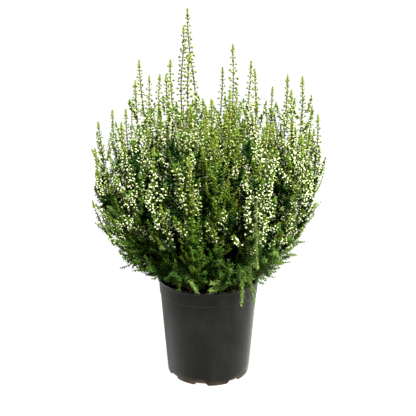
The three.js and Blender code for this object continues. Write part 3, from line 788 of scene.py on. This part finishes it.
for number, stem in enumerate(stems):
    growth = Growth(100 + number)
    draw = growth.draw
    young = number in YOUNG_STEMS
    ripe = 0.1 + 0.3 * draw.random()
    if young:
        ripe = 0.05
    elif number in RIPE_STEMS:
        ripe = 0.7
    bark_at_tip = 0.98 if stem.top < TALL else 0.78
    growth.limb(stem.line(np.linspace(SOIL_TOP - ROOT_DEPTH, stem.top, 48)), STEM_WOOD, bark_at_tip)
    spike_from = 0.205 + 0.02 * draw.random()
    spike_to = stem.top - TIP_LENGTH
    low = points_along(0.124, min(0.285, spike_to - 0.03), LEAF_PITCH)
    # Low needles: near-black on the inner stems, as old growth and partly as painted shade of the
    # inside; young leaves on the outer stems.
    if stem.share < OUTER_FROM:
        growth.set_round(NEEDLE, SPRAY, stem.line(low), stem.across, 3, 0.8, 0.35,
                         1.9 - 0.9 * stem.share, 0.02, 0.4)
    else:
        growth.set_round(YOUNG_LEAF, LEAF, stem.line(low), stem.across, 4, 0.8, 0.35, 1.6,
                         0.16 + 0.2 * stem.share, 0.4)
    bud_spike(growth, stem.line, stem.across, spike_from, spike_to, ripe)
    leafy_tip(growth, stem.line, stem.across, spike_to, stem.top, 0.98)

    def kind_at(height):
        """Needles low down, higher in the middle and at the front, then mostly budded twigs."""
        pick = draw.random()
        needles_to = 0.195 - 0.035 * stem.share**2 - 0.02 * max(0, stem.x) + 0.02 * max(0, -stem.y)
        if height < needles_to:
            needled = 0.9 - 0.5 * stem.share**3 + 0.3 * stem.x
            return "needles" if pick < needled or height < 0.15 + 0.04 * stem.x else "leafy"
        if young:
            return "leafy" if pick < 0.8 else "budded"
        if height < 0.225 - 0.02 * stem.share**2:
            return "needles" if pick < 0.55 - 0.5 * max(0, stem.x) else "budded"
        return "leafy" if pick < 0.14 else "budded"

    def age_at(kind, height):
        """Buds are creamiest below the middle. Leaves are darker low down, and lighter and yellower
        higher up and at the sides.
        """
        if kind == "budded":
            cream = ripe + 0.20 + 0.76 * draw.random() + 0.3 * max(0, stem.x - 0.3)
            return cream * np.interp(height, [0.22, 0.25, 0.31], [1.1, 1.0, 0.52])
        fresh = np.interp(height, [0.17, 0.24, 0.28, 0.32], [0.02, 0.32, 0.38, 0.32]) + 0.2 * young
        fresh += np.interp(stem.x, [-0.8, -0.3, 0.2, 0.7], [0.22, 0.0, 0.0, 0.36])
        fresh += 0.1 * stem.share**3
        mixed = 0.8 * draw.random()**4 if kind == "needles" else 0.34 * draw.random()**2
        return min(0.84, fresh + mixed)

    def size_at(kind, height):
        """How far a twig rises and how far it spreads."""
        if kind == "needles":
            return (np.interp(height, [0.13, 0.2], [0.008, 0.016]),
                    np.interp(abs(stem.x), [0.3, 0.7], [0.013, 0.021]))
        return np.interp(height, [0.15, 0.24, 0.30, 0.33], [0.012, 0.026, 0.023, 0.018]), 0.0120

    # The foot: a row of twigs on every stem, and more of them on the outer and side stems.
    twigs_along(growth, stem.line, stem.across, 0.134, 0.212, 0.0060 - 0.0036 * stem.share,
                kind_at, size_at, age_at, np.interp(stem.x, [0.3, 0.7], [1.0, 1.3]))
    if stem.share > OUTER_FROM:
        pitch = 0.0050 - 0.006 * (stem.share - OUTER_FROM)
        twigs_along(growth, stem.line, stem.across, 0.136, 0.216, pitch,
                    lambda height: "leafy", lambda kind, height: (0.012, 0.011), age_at,
                    np.interp(stem.x, [-0.6, 0.0], [1.45, 1.1]))
    if stem.x < LEFT_TO:
        pitch = 0.0048 if stem.x > -0.65 else 0.0032
        twigs_along(growth, stem.line, stem.across, 0.132, 0.190, pitch,
                    lambda height: "leafy", lambda kind, height: (0.009, 0.020), age_at, 1.5)
    elif stem.x > RIGHT_FROM:
        twigs_along(growth, stem.line, stem.across, 0.132, 0.176, 0.0060,
                    lambda height: "needles", lambda kind, height: (0.010, 0.019), age_at, 1.4)
        twigs_along(growth, stem.line, stem.across, 0.240, min(0.292, stem.top - 0.034), 0.0090,
                    lambda height: "leafy", lambda kind, height: (0.016, 0.012), age_at, 1.3,
                    inward=True)
    # The middle and the crown.
    twigs_to = min(0.332, stem.top - 0.028 - 0.026 * stem.share**2)
    twigs_along(growth, stem.line, stem.across, 0.216, max(0.226, twigs_to), 0.0074,
                kind_at, size_at, age_at)
    # Old twigs with near-black needles inside, behind the fresh growth: old growth, and partly a
    # painted shade that darkens the inside.
    old_to = 0.300 - (0.05 if stem.share < 0.72 else 0.075) * stem.share**2
    twigs_along(growth, stem.line, stem.across, 0.140, min(old_to, stem.top - 0.048), 0.0150,
                lambda height: "old", lambda kind, height: (0.012, 0.015),
                lambda kind, height: np.interp(height, [0.22, 0.27], [0.0, 0.20]), inward=True)
    for row in PLACED_TWIGS.get(number, ()):
        placed_twig(growth, stem, *row)
    for foot, end, out in sides_of(stem):
        def line_at(height, foot=foot, out=out):
            return side_line(stem, foot, out, height)

        growth.limb(line_at(np.linspace(foot, end, 22)), SIDE_WOOD, 0.98, 0.35)
        low = points_along(foot, min(foot + 0.06, end - TIP_LENGTH), LEAF_PITCH)
        growth.set_round(YOUNG_LEAF, LEAF, line_at(low), stem.across, 4, 0.8, 0.5, 1.3, 0.3, 0.3)
        bud_spike(growth, line_at, stem.across, foot + 0.03, end - TIP_LENGTH, ripe + 0.1, 0.95)
        leafy_tip(growth, line_at, stem.across, end - TIP_LENGTH, end, 0.92, 0.95)
        twigs_along(growth, line_at, stem.across, foot + 0.008, max(foot + 0.03, end - 0.04), 0.0085,
                    kind_at, size_at, age_at)
    growth.piece(f"budded_stem_{number + 1:02d}", f"heather_stem_{number + 1:02d}", "budded_stem")


# Leafy shoots: the young growth round the foot of the plant, soft green needles on thin green
# twigs. They rise from the peat and lie out low over the rim. Two of them at the front hang over
# the rim, and are brighter and fuller.
SHOOT_WOOD = (0.0013, 0.0004)
SHOOT_RISE, SHOOT_SPREAD = 0.052, 0.009
HANGING_RISE, HANGING_SPREAD, HANGING_BEND = 0.048, 0.031, 1.3
HANG = {0: 0.057, 8: 0.030}
for number, place in enumerate(places[STEMS:]):
    growth = Growth(300 + number)
    draw = growth.draw
    hanging = number in HANG
    rise = SHOOT_RISE * (0.62 + 0.5 * varied(number, 2))
    outward = np.array([math.cos(place.bearing), math.sin(place.bearing), 0])

    def line_at(share):
        share = np.asarray(share)
        if hanging:
            radius = place.share * FOOT_RADIUS + HANGING_SPREAD * share**HANGING_BEND
            height = SOIL_TOP + HANGING_RISE * share * (2 - share) - HANG[number] * share**3
        else:
            height = SOIL_TOP + rise * share * (2 - share)
            radius = place.share * fountain(height) + SHOOT_SPREAD * share**3
        return outward * radius[:, None] + np.array([0, 0, 1]) * height[:, None]

    root = line_at([0.0])[0]
    buried = root - np.array([0, 0, 1]) * np.linspace(ROOT_DEPTH, 0.001, 3)[:, None]
    growth.limb(np.concatenate([buried, line_at(np.linspace(0, 1, 18))]), SHOOT_WOOD, 0.9, 0.3)
    fresh = 0.62 if hanging else 0.14 + 0.2 * draw.random()
    pitch, lift_at_foot, size_at_foot, fresher = (
        (0.0014, 0.5, 1.45, 0.1) if hanging else (0.0017, 0.4, 1.1, 0.2))
    length = np.linalg.norm(np.diff(line_at(np.linspace(0, 1, 30)), axis=0), axis=1).sum()
    steps = np.linspace(0.26, 0.98, round(length * 0.72 / pitch))
    growth.set_round(NEEDLE, SPRAY, line_at(steps), place.across, 4, 0.85,
                     lift_at_foot + 0.5 * steps**3, size_at_foot - 0.35 * steps,
                     fresh + fresher * steps)
    marks = np.linspace(0.24, 0.85, 12 if hanging else 7)
    run, u, v = cross_axes(line_at(marks), place.across)
    for mark in range(len(marks)):
        angle = mark * GOLDEN_TURN + draw.normal(0, 0.3)
        out = u[mark] * math.cos(angle) + v[mark] * math.sin(angle)
        length, spread = draw.uniform(0.008, 0.014), draw.uniform(0.010, 0.016)
        if hanging:
            length, spread = 0.008, 0.0085 - 0.005 * marks[mark]
        twig(growth, line_at(marks[mark:mark + 1])[0], run[mark], out, length, spread, "needles", fresh)
    growth.piece(f"needle_shoot_{number + 1:02d}", f"leafy_shoot_{number + 1:02d}", "leafy_shoot")


# Studio: a plain pale floor in a white room, whose soft light comes mostly from behind the plant.
# A small bright box in front, above and to the right is the main light, and larger, weaker boxes
# stand at the right, at the left and above. The camera looks down a little from the front.
FLOOR_GREY = (0.22, 0.22, 0.22, 1)
FLOOR_RADIUS = 6.0
ROOM_IN_FRONT, ROOM_BEHIND, BACKDROP = 0.02, 2.4, 1.1
WHITE = (1, 1, 1, 1)
BOXES_FACE = (0, 0, 0.2)
PICTURE_WIDTH, FOCAL_LENGTH, SENSOR_WIDTH = 416, 500, 36
CAMERA_PLACE, CAMERA_LOOKS_DOWN = (-0.00075, -0.6215, 0.33425), 0.19

floor_finish = Finish("pale_floor", {
    "Roughness": 0.9, "Specular IOR Level": 0.1, "Base Color": FLOOR_GREY, "Emission Strength": 1.0})
away = floor_finish.node("ShaderNodeVectorMath", {"operation": "LENGTH"}, floor_finish.place())
looked_at = floor_finish.node("ShaderNodeLightPath", {})
glow = looked_at * (0.90 + 0.4 * away.between(0.3, 1.5))
floor_finish.set("Emission Color", glow.ramp((0, (0, 0, 0)), (1, (1, 1, 1))))
sheet = bmesh.new()
bmesh.ops.create_circle(sheet, cap_ends=True, segments=64, radius=FLOOR_RADIUS)
studio_floor = piece_of(sheet, "studio_floor", floor_finish.material)

world = bpy.data.worlds.new("studio")
world.use_nodes = True
room = world.node_tree
room_light = room.nodes["Background"]
room_light.inputs["Color"].default_value = WHITE
direction = room.nodes.new("ShaderNodeTexCoord")
depth = room.nodes.new("ShaderNodeSeparateXYZ")
strength = room.nodes.new("ShaderNodeMapRange")
strength.interpolation_type = "SMOOTHSTEP"
strength.inputs["From Min"].default_value = 0.2
strength.inputs["From Max"].default_value = 0.95
strength.inputs["To Min"].default_value = ROOM_IN_FRONT
strength.inputs["To Max"].default_value = ROOM_BEHIND
backdrop = room.nodes.new("ShaderNodeBackground")
backdrop.inputs["Color"].default_value = WHITE
backdrop.inputs["Strength"].default_value = BACKDROP
seen = room.nodes.new("ShaderNodeLightPath")
either = room.nodes.new("ShaderNodeMixShader")
room.links.new(direction.outputs["Generated"], depth.inputs["Vector"])
room.links.new(depth.outputs["Y"], strength.inputs["Value"])
room.links.new(strength.outputs["Result"], room_light.inputs["Strength"])
room.links.new(seen.outputs["Is Camera Ray"], either.inputs["Fac"])
room.links.new(room_light.outputs["Background"], either.inputs[1])
room.links.new(backdrop.outputs["Background"], either.inputs[2])
room.links.new(either.outputs["Shader"], room.nodes["World Output"].inputs["Surface"])
bpy.context.scene.world = world


def soft_box(name, place, size, power):
    """A square lamp that faces the middle of the plant."""
    lamp = bpy.data.lights.new(name, "AREA")
    lamp.shape, lamp.size, lamp.energy = "SQUARE", size, power
    holder = bpy.data.objects.new(name, lamp)
    bpy.context.scene.collection.objects.link(holder)
    holder.location = place
    facing = Vector(BOXES_FACE) - Vector(place)
    holder.rotation_euler = facing.to_track_quat("-Z", "Y").to_euler()


soft_box("key_box", (0.4, -1.15, 1.45), 0.3, 76)
soft_box("right_box", (1.5, 0.3, 0.6), 0.9, 26)
soft_box("left_box", (-1.5, 0.5, 0.45), 0.9, 20)
soft_box("top_box", (0.0, 0.1, 1.8), 0.6, 4)

bpy.context.scene.view_settings.view_transform = "Standard"
camera = bpy.data.cameras.new("camera")
camera.sensor_width = SENSOR_WIDTH
camera.lens = FOCAL_LENGTH / PICTURE_WIDTH * SENSOR_WIDTH
camera.clip_start = 0.01
viewer = bpy.data.objects.new("camera", camera)
bpy.context.scene.collection.objects.link(viewer)
viewer.location = CAMERA_PLACE
viewer.rotation_euler = (math.pi / 2 - CAMERA_LOOKS_DOWN, 0, 0)
bpy.context.scene.camera = viewer
